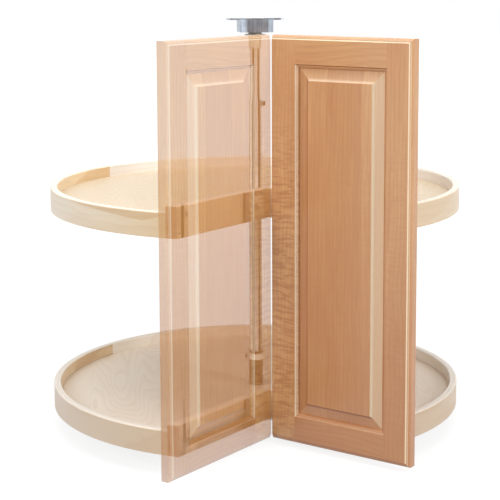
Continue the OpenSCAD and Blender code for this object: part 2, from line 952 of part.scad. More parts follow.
module collar_screw() {
    color(dark_steel) translate([0, 0, sleeve_top + collar_h / 2]) rotate([0, -90, 0]) difference() {
        union() {
            translate([0, 0, hub_bore_r + 0.1]) cylinder(r = 1.5, h = collar_r + 3.2 - hub_bore_r, $fn = 32);
            translate([0, 0, collar_r + 3.2]) cylinder(r1 = 3.2, r2 = 2.4, h = 3.4, $fn = 48);
        }
        translate([-0.4, -4, collar_r + 5.6]) cube([0.8, 8, 3]);
    }
}

// Split steel ring above the collar.
module retaining_ring() {
    color(dark_steel) translate([0, 0, collar_top]) linear_extrude(height = ring_h) difference() {
        circle(r = outer_r + 1.3);
        circle(r = hub_bore_r);
        translate([0, 0]) rotate(120) translate([0, -1.5]) square([outer_r + 3, 3]);
    }
}

// ---------- floor pivot ----------

// Square with round corners.
module round_square(w, r) {
    square([w, w - 2 * r], center = true);
    square([w - 2 * r, w], center = true);
    for (x = [-1, 1], y = [-1, 1]) translate([x, y] * (w / 2 - r)) circle(r = r, $fn = 48);
}

module floor_plate() {
    color(zinc) linear_extrude(height = plate_t) difference() {
        round_square(plate_w, 9);
        circle(r = pin_d / 2 + run_fit);
        for (x = [-1, 1], y = [-1, 1]) {
            translate([x, y] * plate_holes / 2) circle(r = plate_hole_d / 2, $fn = 48);
        }
    }
}

module floor_pivot() {
    pin_r = pin_d / 2;
    color(steel) rotate_extrude() difference() {
        union() {
            square([pin_r, pin_top]);
            translate([0, plate_t]) square([pivot_flange_r, pivot_flange_t]);
        }
        translate([pin_r, pin_top]) rotate(45) square([1.6, 1.6], center = true);
    }
}

// Nylon base round the pivot's flange; the tube's foot turns on its raised ring.
module bearing_base() {
    color(nylon) rotate_extrude() difference() {
        translate([pivot_flange_r + seat_gap, plate_t]) {
            square([base_d / 2 - pivot_flange_r - seat_gap, base_top - plate_t]);
        }
        translate([foot_flange_d / 2 + 0.5, base_top - 2]) square([base_d, 3]);
    }
}

// ---------- top bracket ----------

// Square with its corners cut off.
module eight_sided(w, c) {
    h = w / 2;
    polygon([[h, c - h], [h, h - c], [h - c, h], [c - h, h],
        [-h, h - c], [-h, c - h], [c - h, -h], [h - c, -h]]);
}

// Bent steel band with two slotted ears and the clinched tabs of its seam.
module top_bracket() {
    inner_cut = band_corner - band_t * (2 - sqrt(2));
    ear_in = band_w / 2 - ear_lap;
    tab_h = 6;
    tab_out = 2;
    color(zinc) difference() {
        union() {
            translate([0, 0, band_z]) linear_extrude(height = band_h + ear_t / 2) difference() {
                eight_sided(band_w, band_corner);
                eight_sided(band_w - 2 * band_t, inner_cut);
            }
            for (m = [0, 1]) {
                mirror([m, 0, 0]) translate([0, 0, band_top]) linear_extrude(height = ear_t) difference() {
                    union() {
                        translate([ear_in, -ear_w / 2]) square([ear_span / 2 - 5 - ear_in, ear_w]);
                        translate([ear_in, 5 - ear_w / 2]) square([ear_span / 2 - ear_in, ear_w - 10]);
                        for (y = [-1, 1]) {
                            translate([ear_span / 2 - 5, y * (ear_w / 2 - 5)]) circle(r = 5, $fn = 48);
                        }
                    }
                    slot_shape();
                }
            }
            for (z = [band_z, band_z + band_h - tab_h - 4]) {
                translate([band_w / 2 - cut, -tab_h, z]) cube([cut + tab_out, 2 * tab_h, tab_h]);
            }
        }
    }
}

module slot_shape() {
    half = (slot_len - slot_w) / 2;
    translate([slot_spacing / 2, 0]) {
        square([2 * half, slot_w], center = true);
        for (x = [-half, half]) translate([x, 0]) circle(r = slot_w / 2, $fn = 48);
    }
}

// Black nylon block clasped by the band; it holds the bush.
module bearing_block() {
    w = band_w - 2 * band_t - 2 * block_gap;
    c = band_corner - band_t * (2 - sqrt(2));
    dome_r = band_w / 2 - ear_lap - body_gap;
    color(black_nylon) difference() {
        union() {
            translate([0, 0, band_z + 1]) linear_extrude(height = band_h - 2) eight_sided(w, c);
            translate([0, 0, band_z + 2]) cylinder(r = dome_r, h = band_h - 2);
            translate([0, 0, band_top]) cylinder(r1 = dome_r, r2 = dome_r - 4, h = block_dome);
        }
        translate([0, 0, band_z - cut]) cylinder(r = bush_d / 2 + run_fit, h = bush_rise + cut);
        translate([0, 0, band_z]) cylinder(r = bush_d / 2 - 2, h = band_h + block_dome + cut);
    }
}

// White nylon bush with a thin flange, under the bearing block.
module top_bush() {
    flange_t = 1.6;
    color(nylon) rotate_extrude() difference() {
        union() {
            translate([0, bush_z]) square([bush_d / 2, bush_top - bush_z]);
            translate([0, band_z - bush_shoulder]) square([bush_flange_d / 2, flange_t]);
        }
        translate([0, bush_z - cut]) square([stud_d / 2 + run_fit, bush_top - bush_z + 2 * cut]);
    }
}

floor_plate();
floor_pivot();
bearing_base();
tube_foot();
outer_tube();
clamp_nut();
lower_hub();
upper_hub();
lower_hub_screws();
upper_hub_screws();
hub_set_screws();
hub_collar();
collar_screw();
retaining_ring();
lower_floor();
lower_rim_left();
lower_rim_back();
lower_rim_right();
lower_left_board();
lower_right_board();
lower_brads();
upper_floor();
upper_rim_left();
upper_rim_back();
upper_rim_right();
upper_left_board();
upper_right_board();
upper_brads();
left_inner_stile();
left_outer_stile();
left_top_rail();
left_bottom_rail();
left_panel();
right_inner_stile();
right_outer_stile();
right_top_rail();
right_bottom_rail();
right_panel();
left_door_screws();
right_door_screws();
clamp_screw();
inner_tube();
tube_ferrule();
top_pivot();
pivot_clip();
top_bracket();
bearing_block();
top_bush();
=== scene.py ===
"""Looks of the corner carousel: two birch shelves on a steel shaft, closed by two maple doors."""
import math

import bpy
import numpy as np
from mathutils import Euler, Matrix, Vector


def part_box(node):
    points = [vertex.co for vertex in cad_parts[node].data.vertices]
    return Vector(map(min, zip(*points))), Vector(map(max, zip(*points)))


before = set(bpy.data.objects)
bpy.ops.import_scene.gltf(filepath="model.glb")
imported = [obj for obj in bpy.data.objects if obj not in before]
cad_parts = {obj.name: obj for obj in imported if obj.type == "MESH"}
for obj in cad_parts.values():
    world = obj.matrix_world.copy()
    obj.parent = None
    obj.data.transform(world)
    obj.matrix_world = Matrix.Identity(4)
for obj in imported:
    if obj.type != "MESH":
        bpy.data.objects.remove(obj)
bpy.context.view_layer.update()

# ---------------------------------------------------------------------------
# Floor plate, pivot pin and bearing base.
# A zinc-plated steel plate screwed to the cabinet floor carries a turned pin with a riveted
# flange, and a moulded nylon ring lies round the flange for the shaft's foot to turn on.
# ---------------------------------------------------------------------------


def seen(red, green, blue):
    """Linear colour of a surface that should look like this 0-255 screen colour."""
    c = np.array([red, green, blue]) / 255.0
    c = np.where(c <= 0.04045, c / 12.92, ((c + 0.055) / 1.055) ** 2.4)
    return (*[float(v) for v in c], 1.0)


def put(tree, kind, inputs=None, **settings):
    """Adds a shader node, sets its properties and fills its sockets with values or links."""
    made = tree.nodes.new(kind)
    for key, value in settings.items():
        setattr(made, key, value)
    for key, value in (inputs or {}).items():
        if isinstance(value, bpy.types.NodeSocket):
            tree.links.new(value, made.inputs[key])
        else:
            made.inputs[key].default_value = value
    return made


def calc(tree, operation, a, b=0.0):
    """One Math node; a and b are numbers or sockets."""
    return put(tree, "ShaderNodeMath", {0: a, 1: b}, operation=operation).outputs[0]


def times_plus(tree, a, b, c):
    """The number a times b, plus c."""
    return put(tree, "ShaderNodeMath", {0: a, 1: b, 2: c}, operation="MULTIPLY_ADD").outputs[0]


def blend(tree, share, a, b):
    """The number a by its share and b by the rest."""
    return times_plus(tree, a, share, calc(tree, "MULTIPLY", b, 1.0 - share))


def between(tree, value, start, end, low=0.0, high=1.0):
    """Low up to start, high from end on, and straight from one to the other between them."""
    return put(tree, "ShaderNodeMapRange", {0: value, 1: start, 2: end, 3: low, 4: high}).outputs[0]


def grade(tree, value, low, high):
    """Maps a 0-1 value onto low-high."""
    return between(tree, value, 0.0, 1.0, low, high)


def ramp(tree, value, *stops):
    """Colour ramp through (position, colour) stops."""
    made = put(tree, "ShaderNodeValToRGB", {0: value})
    band = made.color_ramp.elements
    while len(band) < len(stops):
        band.new(0.5)
    for element, (place, colour) in zip(band, stops):
        element.position = place
        element.color = colour
    return made.outputs[0]


def stretched(tree, vector, factors):
    """The vector's axes times their factors: one below 1 draws a pattern out along its axis."""
    return put(tree, "ShaderNodeVectorMath", {0: vector, 1: factors}, operation="MULTIPLY").outputs[0]


def noise(tree, vector, scale, detail, **more):
    """Noise of this many cells to the metre, as a value."""
    inputs = {"Vector": vector, "Scale": scale, "Detail": detail, **more}
    return put(tree, "ShaderNodeTexNoise", inputs).outputs[0]


def new_group(name, inputs, outputs):
    """Empty shader node group with float or vector sockets; returns it with its ends."""
    group = bpy.data.node_groups.new(name, "ShaderNodeTree")
    for label, kind, value in inputs:
        made = group.interface.new_socket(name=label, in_out="INPUT", socket_type=kind)
        if value is not None:
            made.default_value = value
    for label in outputs:
        group.interface.new_socket(name=label, in_out="OUTPUT", socket_type="NodeSocketFloat")
    return group, group.nodes.new("NodeGroupInput").outputs, group.nodes.new("NodeGroupOutput").inputs


def give(group, ends, **values):
    """Links values to the group's outputs of the same names."""
    for label, value in values.items():
        group.links.new(value, ends[label])


def new_finish(name):
    """Material with its tree, its Principled shader and its Object coordinates."""
    material = bpy.data.materials.new(name)
    material.use_nodes = True
    tree = material.node_tree
    shader = tree.nodes["Principled BSDF"]
    place = put(tree, "ShaderNodeTexCoord").outputs["Object"]
    return material, tree, shader, place


def cover(tree, shader, colour, roughness, height, relief, strength):
    """Links colour, roughness and a bump of this relief in metres to the shader."""
    bump = put(tree, "ShaderNodeBump", {"Height": height, "Distance": relief, "Strength": strength})
    for socket, value in (("Base Color", colour), ("Roughness", roughness), ("Normal", bump.outputs[0])):
        tree.links.new(value, shader.inputs[socket])


def dress(material, *nodes):
    """Gives CAD nodes this material in each of their slots."""
    for name in nodes:
        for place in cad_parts[name].material_slots:
            place.material = material


# Rolled and handled surfaces: long fine streaks along Z and soft smudges.
worn, given, ends = new_group(
    "worn_surface",
    [("Vector", "NodeSocketVector", None), ("Streaks per metre", "NodeSocketFloat", 900.0)],
    ["Streaks", "Smudges", "Height"])
along = stretched(worn, given["Vector"], (1.0, 1.0, 0.03))
streaks = noise(worn, along, given["Streaks per metre"], 3.0)
smudges = noise(worn, given["Vector"], 38.0, 4.0)
give(worn, ends, Streaks=streaks, Smudges=smudges, Height=blend(worn, 0.7, streaks, smudges))


def metal(name, dark, light, rough, streaks=900.0):
    """Steel whose colour, gloss and relief follow the rolled streaks and smudges."""
    material, tree, shader, place = new_finish(name)
    marks = put(tree, "ShaderNodeGroup", {"Vector": place, "Streaks per metre": streaks},
                node_tree=worn).outputs
    tone = blend(tree, 0.5, marks["Smudges"], marks["Streaks"])
    cover(tree, shader, ramp(tree, tone, (0.35, dark), (0.65, light)),
          grade(tree, marks["Smudges"], rough - 0.08, rough + 0.1), marks["Height"], 0.00003, 0.5)
    shader.inputs["Metallic"].default_value = 1.0
    return material


def moulded(name, dark, light, rough):
    """Moulded nylon: fine spark-eroded grain and slight clouding in colour and gloss."""
    material, tree, shader, place = new_finish(name)
    cloud = put(tree, "ShaderNodeGroup", {"Vector": place}, node_tree=worn).outputs["Smudges"]
    cover(tree, shader, ramp(tree, cloud, (0.3, dark), (0.7, light)),
          grade(tree, cloud, rough - 0.06, rough + 0.1), noise(tree, place, 2600.0, 2.0), 0.00004, 0.5)
    return material


zinc_plate = metal("zinc_plated_sheet", seen(166, 176, 188), seen(214, 221, 228), 0.34, 240.0)
turned_pin = metal("turned_steel", seen(160, 158, 154), seen(205, 204, 200), 0.25, 1400.0)
natural_nylon = moulded("natural_nylon", seen(238, 233, 220), seen(250, 247, 238), 0.42)
dress(zinc_plate, "floor_plate", "clamp_nut")
dress(turned_pin, "floor_pivot", "top_pivot")
dress(natural_nylon, "bearing_base", "tube_foot", "hub_collar", "top_bush")

# ---------------------------------------------------------------------------
# Outer and inner tubes of the telescoping shaft.
# Thin steel tube with six flutes rolled in, so that the shelves' hubs can't turn on it. The inner
# tube slides in the outer one and a socket screw in a welded nut clamps it.
# ---------------------------------------------------------------------------


def mix(tree, share, a, b, way="MIX"):
    """Mixes two colours by a share."""
    made = put(tree, "ShaderNodeMix", data_type="RGBA", blend_type=way)
    for key, kind, value in (("Factor", "VALUE", share), ("A", "RGBA", a), ("B", "RGBA", b)):
        socket = [s for s in made.inputs if s.name == key and s.type == kind][0]
        if isinstance(value, bpy.types.NodeSocket):
            tree.links.new(value, socket)
        else:
            socket.default_value = value
    return [s for s in made.outputs if s.type == "RGBA"][0]


def split(tree, vector):
    """The three axes of a vector."""
    return list(put(tree, "ShaderNodeSeparateXYZ", {0: vector}).outputs)


flute_pitch = math.radians(60.0)
tube_steel = metal("rolled_tube_steel", seen(232, 230, 228), seen(252, 252, 252), 0.26, 1100.0)
tree = tube_steel.node_tree
shader = tree.nodes["Principled BSDF"]
steel = shader.inputs["Base Color"].links[0].from_socket
# Painted shade: near-black bands at each of the six flute angles and a dark line between two of them, mixed
# into the steel's colour.
east, north, height = split(tree, put(tree, "ShaderNodeTexCoord").outputs["Object"])
flutes = calc(tree, "DIVIDE", calc(tree, "ARCTAN2", north, east), flute_pitch)
scale = between(tree, calc(tree, "PINGPONG", flutes, 0.5), 0.16, 0.25, 1.0, 0.0)
painted_shade_line = between(tree, calc(tree, "ABSOLUTE", calc(tree, "ADD", flutes, 0.5)), 0.12, 0.2, 0.8, 0.0)
steel = mix(tree, calc(tree, "MAXIMUM", scale, painted_shade_line), steel, seen(16, 14, 16))
tree.links.new(steel, shader.inputs["Base Color"])
shader.inputs["Metallic"].default_value = 0.25
black_oxide = metal("black_oxide_steel", seen(52, 50, 49), seen(96, 92, 88), 0.38, 1200.0)
dress(tube_steel, "outer_tube", "inner_tube")
dress(black_oxide, "clamp_screw", "collar_screw", "retaining_ring", "pivot_clip", "hub_set_screws")

# ---------------------------------------------------------------------------
# Shelf floors.
# Birch plywood, 9.5 mm, let into a groove in the rims and boards. The face veneer is peeled from
# the log, so its figure wanders in wide loops along the grain, which runs front to back.
# ---------------------------------------------------------------------------

# A ring shows where a slow noise, drawn out along Y, passes one of its many levels.
peeled, given, ends = new_group(
    "peeled_birch_veneer",
    [("Vector", "NodeSocketVector", None), ("Loops", "NodeSocketFloat", 58.0)],
    ["Rings", "Fibres", "Cloud", "Height"])
drawn = stretched(peeled, given["Vector"], (1.0, 0.2, 1.0))
level = calc(peeled, "MULTIPLY", noise(peeled, drawn, 5.6, 2.4, Roughness=0.42), given["Loops"])
rings = calc(peeled, "POWER", calc(peeled, "FRACT", level), 2.6)
fibres = noise(peeled, stretched(peeled, given["Vector"], (1.0, 0.035, 1.0)), 900.0, 3.0)
give(peeled, ends, Rings=rings, Fibres=fibres, Cloud=noise(peeled, drawn, 9.0, 4.0),
     Height=blend(peeled, 0.6, fibres, rings))


def birch_ply(name, shift, dark, middle, light, line):
    """Lacquered birch plywood; shift moves the figure so that the two floors differ."""
    material, tree, shader, place = new_finish(name)
    place = put(tree, "ShaderNodeMapping", {"Vector": place, "Location": shift}).outputs[0]
    veneer = put(tree, "ShaderNodeGroup", {"Vector": place}, node_tree=peeled).outputs
    body = ramp(tree, veneer["Cloud"], (0.3, dark), (0.5, middle), (0.75, light))
    body = mix(tree, calc(tree, "MULTIPLY", veneer["Rings"], 0.34), body, line)
    body = mix(tree, grade(tree, veneer["Fibres"], 0.0, 0.22), body, line)
    cover(tree, shader, body, grade(tree, veneer["Fibres"], 0.38, 0.5), veneer["Height"], 0.00012, 0.35)
    shader.inputs["Specular IOR Level"].default_value = 0.35
    return material


# The upper floor's tones are a darker copy of the lower floor's birch: painted shade that tones down the
# overhead bank's light on it.
for shelf, shift, dark, middle, light, line in (
        ("lower", (0.0, 0.0, 0.0), (232, 215, 196), (241, 227, 210), (245, 234, 219), (220, 196, 168)),
        ("upper", (0.73, 0.41, 0.3), (216, 196, 166), (224, 207, 182), (230, 216, 195), (206, 176, 134))):
    dress(birch_ply(f"birch_plywood_{shelf}", shift, seen(*dark), seen(*middle), seen(*light), seen(*line)),
          f"{shelf}_floor")

# ---------------------------------------------------------------------------
# Curved rims.
# Solid birch strips, steamed and bent, three to a shelf and glued end to end. The grain runs round
# the shelf, paler and straighter than the doors', with a brown streak here and there.
# ---------------------------------------------------------------------------


def hypotenuse(tree, a, b):
    """The square root of a squared plus b squared."""
    return calc(tree, "SQRT", times_plus(tree, a, a, calc(tree, "MULTIPLY", b, b)))


def turned(tree, vector, angles, factors, kind="POINT"):
    """The vector with its axes scaled, then turned by these angles in radians."""
    inputs = {"Vector": vector, "Rotation": angles, "Scale": factors}
    return put(tree, "ShaderNodeMapping", inputs, vector_type=kind).outputs[0]


# A board sawn from a log whose pith runs near Z: X is across the board's face and Y is its depth.
# A year's ring is a step of the radius from the pith, which leans by the taper and wanders slowly.
sawn, given, ends = new_group(
    "sawn_board",
    [("Vector", "NodeSocketVector", None), ("Ring width", "NodeSocketFloat", 0.006),
     ("Taper", "NodeSocketFloat", 0.05), ("Wander", "NodeSocketFloat", 0.02)],
    ["Rings", "Streaks", "Fibres", "Cloud", "Curl", "Height"])
stray = put(sawn, "ShaderNodeTexNoise", {
    "Vector": stretched(sawn, given["Vector"], (1.0, 1.0, 0.5)), "Scale": 11.0, "Detail": 3.0}).outputs[1]
stray = put(sawn, "ShaderNodeVectorMath", {0: stray, 1: (0.5, 0.5, 0.5)}, operation="SUBTRACT").outputs[0]
stray = put(sawn, "ShaderNodeVectorMath", {0: stray, "Scale": given["Wander"]}, operation="SCALE").outputs[0]
bent = put(sawn, "ShaderNodeVectorMath", {0: given["Vector"], 1: stray}, operation="ADD").outputs[0]
across, depth, along = split(sawn, bent)
radius = hypotenuse(sawn, across, times_plus(sawn, along, given["Taper"], depth))
rings = calc(sawn, "POWER", calc(sawn, "FRACT", calc(sawn, "DIVIDE", radius, given["Ring width"])), 3.0)
fibres = noise(sawn, turned(sawn, bent, (0.0, 0.0, 0.7), (1.0, 1.0, 0.02)), 700.0, 3.0, Distortion=1.0)
streaks = noise(sawn, turned(sawn, bent, (0.0, 0.0, 0.55), (1.0, 1.0, 0.045)), 170.0, 4.0,
                Roughness=0.6, Distortion=1.4)
curl = noise(sawn, turned(sawn, bent, (0.0, 0.12, 0.0), (0.16, 1.0, 1.0)), 190.0, 1.5, Distortion=0.8)
cloud = noise(sawn, stretched(sawn, given["Vector"], (1.0, 1.0, 0.22)), 16.0, 3.0)
give(sawn, ends, Rings=rings, Streaks=streaks, Fibres=fibres, Cloud=cloud, Curl=curl,
     Height=blend(sawn, 0.7, fibres, rings))

rim_middle, rim_inner_face, rim_outer_face = 0.35, 0.345, 0.352      # radii that part the rim's faces


def bent_birch(name, turn, pale, middle, brown, inner, streak=0.0, tongue=None):
    """Birch strip whose grain runs along the arc: the board's axes are Z, the radius and the arc."""
    material, tree, shader, place = new_finish(name)
    east, north, height = split(tree, place)
    arc = times_plus(tree, calc(tree, "ARCTAN2", east, north), rim_middle, turn)
    radius = hypotenuse(tree, east, north)
    strip = put(tree, "ShaderNodeCombineXYZ", {0: height, 1: radius, 2: arc}).outputs[0]
    wood = put(tree, "ShaderNodeGroup", {"Vector": strip, "Ring width": 0.0085, "Taper": 0.012,
                                         "Wander": 0.03}, node_tree=sawn).outputs

    # Colour: golden towards the middle of the front and paler towards its ends, the pale left end being a
    # painted reflection; brown clouds, and a pale or streaked inside.
    golden = calc(tree, "MINIMUM", between(tree, east, -0.34, -0.17), between(tree, east, 0.0, 0.2, 1.0, 0.4))
    body = mix(tree, golden, pale, middle)
    body = mix(tree, between(tree, wood["Cloud"], 0.5, 0.34, 0.0, 0.3), body, brown)
    band = put(tree, "ShaderNodeCombineXYZ", {
        0: calc(tree, "MULTIPLY", height, 34.0), 1: calc(tree, "MULTIPLY", arc, 7.0)}).outputs[0]
    band = between(tree, noise(tree, band, 1.0, 2.0), 0.5, 0.6, 0.0, streak)
    inside = calc(tree, "LESS_THAN", radius, rim_inner_face)
    body = mix(tree, calc(tree, "MULTIPLY", inside, 0.85), body, inner)
    body = mix(tree, calc(tree, "MULTIPLY", band, inside), body, brown)
    if tongue:                      # heartwood under the top edge: thin at its root, widest near its tip
        root, tip, top = tongue
        way = between(tree, east, root, tip)
        wave = calc(tree, "MULTIPLY", calc(tree, "SUBTRACT", wood["Cloud"], 0.5), 0.012)
        closing = between(tree, way, 0.7, 1.0, 0.0, 0.02)
        edge = calc(tree, "ADD", times_plus(tree, way, -0.017, top - 0.003), calc(tree, "ADD", wave, closing))
        over = between(tree, calc(tree, "SUBTRACT", height, edge), -0.0005, 0.0015, 0.0, 0.5)
        over = calc(tree, "MULTIPLY", over, calc(tree, "LESS_THAN", north, 0.0))
        outside = calc(tree, "GREATER_THAN", radius, rim_outer_face)
        body = mix(tree, calc(tree, "MULTIPLY", over, outside), body, brown)

    # The top edge is painted paler, a painted highlight from above, and rings and fibres show over all of it.
    upward = split(tree, put(tree, "ShaderNodeTexCoord").outputs["Normal"])[2]
    body = mix(tree, between(tree, upward, 0.3, 0.9, 0.0, 0.8), body, seen(246, 243, 236))
    body = mix(tree, calc(tree, "MULTIPLY", wood["Rings"], 0.16), body, brown)
    body = mix(tree, grade(tree, wood["Fibres"], 0.0, 0.25), body, middle)
    cover(tree, shader, body, grade(tree, wood["Fibres"], 0.36, 0.5), wood["Height"], 0.00012, 0.35)
    shader.inputs["Specular IOR Level"].default_value = 0.35
    return material


golden_inside = seen(238, 212, 172)
heartwood = (-0.34, -0.17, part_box("upper_rim_left")[1][2])          # root and tip in X, and its top
# The two shelves' tones are lit and shaded copies of one birch: the lower rims' outsides are painted darker, as
# painted shade under the upper shelf; the inside of the lower back and right rims is painted near white, as
# painted light against the shade there; and that of the upper ones greyer, as painted shade against the
# overhead bank's light.
for shelf, turn, tongue, pale, middle, brown, inner in (
        ("lower", 0.0, None, (231, 214, 197), (228, 201, 168), (198, 156, 112), (255, 250, 240)),
        ("upper", 1.37, heartwood, (243, 231, 214), (242, 217, 180), (206, 160, 100), (234, 231, 229))):
    tones = seen(*pale), seen(*middle), seen(*brown)
    dress(bent_birch(f"bent_birch_{shelf}_left", turn, *tones, golden_inside, 0.5, tongue),
          f"{shelf}_rim_left")
    for part, further in (("back", 2.3), ("right", 5.1)):
        dress(bent_birch(f"bent_birch_{shelf}_{part}", turn + further, *tones, seen(*inner)),
              f"{shelf}_rim_{part}")

# ---------------------------------------------------------------------------
# Straight boards along the notch, and the doors.
# Hard maple under an amber lacquer. The boards and rails have their grain along their length, the
# stiles upright, and each raised panel is glued up from staves that differ a little in tone.
# ---------------------------------------------------------------------------
maple_light = seen(226, 175, 122)
maple_middle = seen(212, 154, 101)
maple_red = seen(180, 108, 62)
# Painted highlight and painted shade of the doors' moulded edges; the darker colour also gives the boards' end
# grain its brown.
maple_painted_highlight = seen(255, 234, 200)
maple_painted_shade_and_end_grain = seen(160, 92, 54)
door_front = 0.120                                      # of the doors' faces from the shaft's axis
stave_start, stave_width = 0.2265, 0.068                # of the panels' staves, from the corner
ghost_opacity = 0.68                                    # of the left door, which is shown ghosted

# Moulded edges of a door: a painted highlight, paler, on what faces out or up, and painted shade, darker,
# where the profile turns in or down. Depth is from the door's face, Reach how deep this goes.
profile, given, ends = new_group(
    "moulding_painted_light",
    [("Normal", "NodeSocketVector", None), ("Depth", "NodeSocketFloat", 0.0),
     ("Reach", "NodeSocketFloat", 0.0026), ("Upward", "NodeSocketFloat", 0.8)],
    ["Rubbed", "Stained"])
outward, back, upward = split(profile, given["Normal"])
shallow = calc(profile, "LESS_THAN", given["Depth"], given["Reach"])
fade = between(profile, given["Depth"], 0.0062, 0.003)


def facing(axis, *spans):
    """Sum of shares that each rise from none to full between two values of the normal's axis."""
    total = 0.0
    for start, end, share in spans:
        total = calc(profile, "ADD", total, between(profile, axis, start, end, 0.0, share))
    return total


painted_highlight_up = calc(profile, "MULTIPLY", facing(upward, (0.08, 0.15, 0.5), (0.24, 0.7, 0.5)), fade)
painted_highlight = calc(profile, "MAXIMUM", facing(outward, (0.08, 0.15, 0.38), (0.24, 0.7, 0.52)),
              calc(profile, "MULTIPLY", painted_highlight_up, given["Upward"]))
painted_shade = calc(profile, "MAXIMUM", facing(outward, (-0.08, -0.15, 0.22), (-0.18, -0.42, 0.75)),
               facing(upward, (-0.08, -0.15, 0.06), (-0.18, -0.42, 0.75)))
give(profile, ends, Rubbed=calc(profile, "MULTIPLY", painted_highlight, shallow),
     Stained=calc(profile, "MULTIPLY", painted_shade, shallow))


def door_axes(tree, vector, side, kind="POINT"):
    """Turns a vector to the doors: X out from the corner, Y back and Z up; side is 1 or -1."""
    return turned(tree, vector, (0.0, 0.0, math.radians(45.0)), (side, 1.0, 1.0), kind)


def maple(name, side, run, shift, curly, figure, low, reach=0.0, upward=0.8, year=0.0075,
          staved=False, ghost=False):
    """Lacquered maple on the right (side 1) or left (-1), its grain upright or level.

    Shift moves the board in its log, curly and figure are how strong the curl and the rings are,
    low how much painted shade, redder and darker, it gets towards the floor, reach and upward are
    for the painted highlight and painted shade on the moulded edges, and year is the rings' width.
    """
    material, tree, shader, place = new_finish(name)
    out, back, height = split(tree, door_axes(tree, place, side))
    wide, tall = (out, height) if run == "upright" else (height, out)
    if staved:
        stave = calc(tree, "FLOOR", calc(
            tree, "DIVIDE", calc(tree, "SUBTRACT", wide, stave_start), stave_width))
        middle = calc(tree, "LESS_THAN", calc(tree, "ABSOLUTE", stave), 0.5)
        stave = put(tree, "ShaderNodeTexWhiteNoise", {"W": stave}, noise_dimensions="1D").outputs[0]
        wide = times_plus(tree, stave, 0.4, wide)
    board = put(tree, "ShaderNodeCombineXYZ", {0: wide, 1: back, 2: tall}).outputs[0]
    board = put(tree, "ShaderNodeVectorMath", {0: board, 1: shift}, operation="ADD").outputs[0]
    wood = put(tree, "ShaderNodeGroup", {"Vector": board, "Ring width": year, "Taper": 0.06,
                                         "Wander": 0.022}, node_tree=sawn).outputs

    # Colour of the wood: clouds, staves, rings, streaks, fibres, curl, and painted shade that makes it redder
    # and darker towards the floor.
    body = ramp(tree, wood["Cloud"], (0.3, maple_middle), (0.62, maple_light))
    if staved:
        body = mix(tree, grade(tree, stave, 0.0, 0.12), body, maple_red)
        high = between(tree, height, 0.42, 0.62, 0.05, 0.3)
        body = mix(tree, calc(tree, "MULTIPLY", middle, high), body, maple_red)
    body = mix(tree, calc(tree, "MULTIPLY", wood["Rings"], figure), body, maple_red)
    body = mix(tree, between(tree, wood["Streaks"], 0.35, 0.75, 0.0, 0.36), body, maple_red)
    body = mix(tree, grade(tree, wood["Fibres"], 0.0, 0.3), body, maple_middle)
    curl = between(tree, wood["Curl"], 0.42, 0.62, 0.0, curly)
    curl = calc(tree, "MULTIPLY", curl, between(tree, height, 0.56, 0.46, 0.15, 1.0))
    body = mix(tree, curl, body, maple_red)
    # Painted shade: redder and darker towards the floor, by the member's low share.
    body = mix(tree, between(tree, height, 0.6, 0.0, 0.0, low), body, maple_red)
    if ghost:
        body = mix(tree, 1.0, body, (1.0, 0.97, 0.6, 1.0), "MULTIPLY")

    # Painted highlight and painted shade on the moulded edges: paler where they face out or up, darker where
    # they turn in or down.
    if reach:
        normal = door_axes(tree, put(tree, "ShaderNodeTexCoord").outputs["Normal"], side, "VECTOR")
        edges = put(tree, "ShaderNodeGroup", {
            "Normal": normal, "Depth": calc(tree, "ADD", back, door_front), "Reach": reach,
            "Upward": upward}, node_tree=profile).outputs
        body = mix(tree, calc(tree, "MULTIPLY", edges["Rubbed"], 0.6 if ghost else 1.0), body, maple_painted_highlight)
        body = mix(tree, edges["Stained"], body, maple_painted_shade_and_end_grain)
    cover(tree, shader, body, grade(tree, wood["Fibres"], 0.3, 0.42), wood["Height"], 0.00012, 0.3)
    shader.inputs["Coat Weight"].default_value = 0.8
    shader.inputs["Coat Roughness"].default_value = 0.14

    # Ghosted, only the first surface shows, and light mostly passes it.
    if ghost:
        path = put(tree, "ShaderNodeLightPath").outputs
        first = calc(tree, "LESS_THAN", path["Transparent Depth"], 0.5)
        passing = calc(tree, "MAXIMUM", path["Is Shadow Ray"], path["Is Diffuse Ray"])
        solid = calc(tree, "MULTIPLY", first, times_plus(tree, passing, -0.8, 1.0))
        tree.links.new(calc(tree, "MULTIPLY", solid, ghost_opacity), shader.inputs["Alpha"])
    return material


def bleach(material, side):
    """Makes the shelf boards' own maple paler than the doors', with brown end grain."""
    tree = material.node_tree
    colour = tree.nodes["Principled BSDF"].inputs["Base Color"]
    pale = mix(tree, 0.6, colour.links[0].from_socket, seen(252, 230, 196))
    outward = split(tree, door_axes(tree, put(tree, "ShaderNodeTexCoord").outputs["Normal"], side, "VECTOR"))[0]
    tree.links.new(mix(tree, between(tree, outward, 0.5, 0.8, 0.0, 0.75), pale, maple_painted_shade_and_end_grain), colour)


for shelf, further in (("lower", 0.0), ("upper", 0.9)):
    for label, side, start in (("left", -1, (0.02, -0.03, 0.3 + further)),
                               ("right", 1, (-0.05, 0.04, 1.1 + further))):
        board = maple(f"pale_maple_{shelf}_{label}_board", side, "level", start, 0.1, 0.2, 0.0)
        bleach(board, side)
        dress(board, f"{shelf}_{label}_board")

